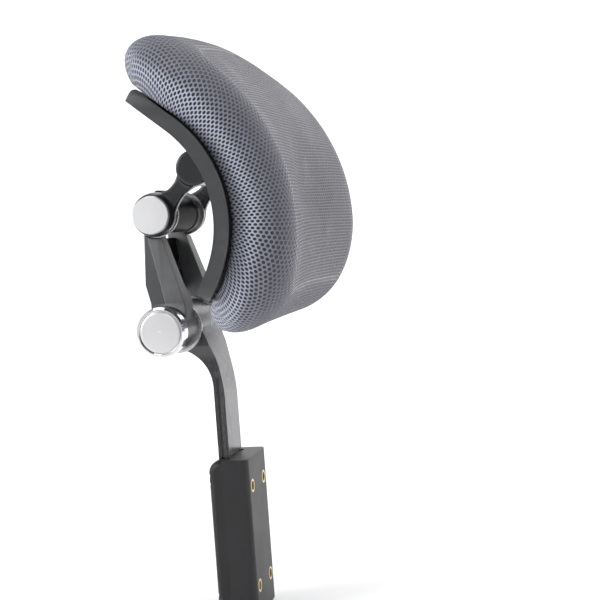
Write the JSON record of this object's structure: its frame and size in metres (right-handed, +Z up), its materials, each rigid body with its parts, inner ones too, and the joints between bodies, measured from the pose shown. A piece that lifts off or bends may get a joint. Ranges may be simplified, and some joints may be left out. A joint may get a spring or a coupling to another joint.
{
  "type": "chair headrest attachment",
  "caption": "Office chair headrest: wrap-around mesh pad on a dished shell, carried by a two-pivot link and a flat bar that slides in a bolt-on bracket.",
  "frame": {"origin": "centre of the four threaded holes in the bracket's front face, which lies against the chair's back frame", "axes": "+Z up along the straight part of the stem, -Y to the front, where the sitter's head is, +X to the sitter's left-right direction"},
  "size_m": [0.274, 0.1181, 0.3541],
  "materials": {
    "bracket_plastic": "moulded matt",
    "liner_plastic": "smooth",
    "steel": "turned",
    "brass": "knurled",
    "black_screws": "black oxide",
    "stem_metal": "satin anthracite",
    "leg_metal": "satin graphite",
    "black_plastic": "glossy black",
    "washer_steel": "bright edge",
    "chrome": "polished",
    "silver_disc": "fine satin",
    "arm_plastic": "satin",
    "shell_plastic": "fine grain satin",
    "foam": "open-cell foam",
    "mesh_fabric": "spacer mesh"
  },
  "bodies": {
    "bracket": {"bracket_base": "bracket_plastic", "bracket_cover": "bracket_plastic", "guide_liner": "liner_plastic", "friction_shoe": "liner_plastic", "shoe_spring": "steel", "threaded_inserts": "brass", "cover_screws": "black_screws"},
    "stem": {"stem_bar": "stem_metal", "stop_pin": "steel", "hub_bush_left": "liner_plastic", "hub_bush_right": "liner_plastic"},
    "link": {"leg_left": "leg_metal", "leg_right": "leg_metal", "link_web": "black_plastic", "pivot_tube": "black_plastic", "web_screws": "black_screws", "lower_axle": "steel", "axle_head": "steel", "axle_nut": "steel", "spring_washers": "steel", "grub_screw": "steel", "friction_washer_left": "washer_steel", "lower_ring_left": "chrome", "lower_bezel_left": "chrome", "lower_disc_left": "silver_disc", "eye_washer_left": "washer_steel", "friction_washer_right": "washer_steel", "lower_ring_right": "chrome", "lower_bezel_right": "chrome", "lower_disc_right": "silver_disc", "eye_washer_right": "washer_steel"},
    "head": {"head_bracket": "arm_plastic", "upper_pin": "steel", "bracket_screws": "black_screws", "back_shell": "shell_plastic", "backing_board": "black_plastic", "foam_core": "foam", "mesh_cover": "mesh_fabric", "upper_disc_left": "silver_disc", "pin_clip_left": "steel", "upper_disc_right": "silver_disc", "pin_clip_right": "steel"}
  },
  "joints": [
    {"name": "height_slide", "type": "slide", "parent": "bracket", "child": "stem", "axis": [0, 0, 1], "range_m": [-0.03, 0.025]},
    {"name": "link_tilt", "type": "hinge", "parent": "stem", "child": "link", "pos_m": [0, 0.04, 0.135], "axis": [1, 0, 0], "range_deg": [-30, 15]},
    {"name": "head_tilt", "type": "hinge", "parent": "link", "child": "head", "pos_m": [0, 0.0447, 0.2062], "axis": [1, 0, 0], "range_deg": [-40, 12]}
  ]
}
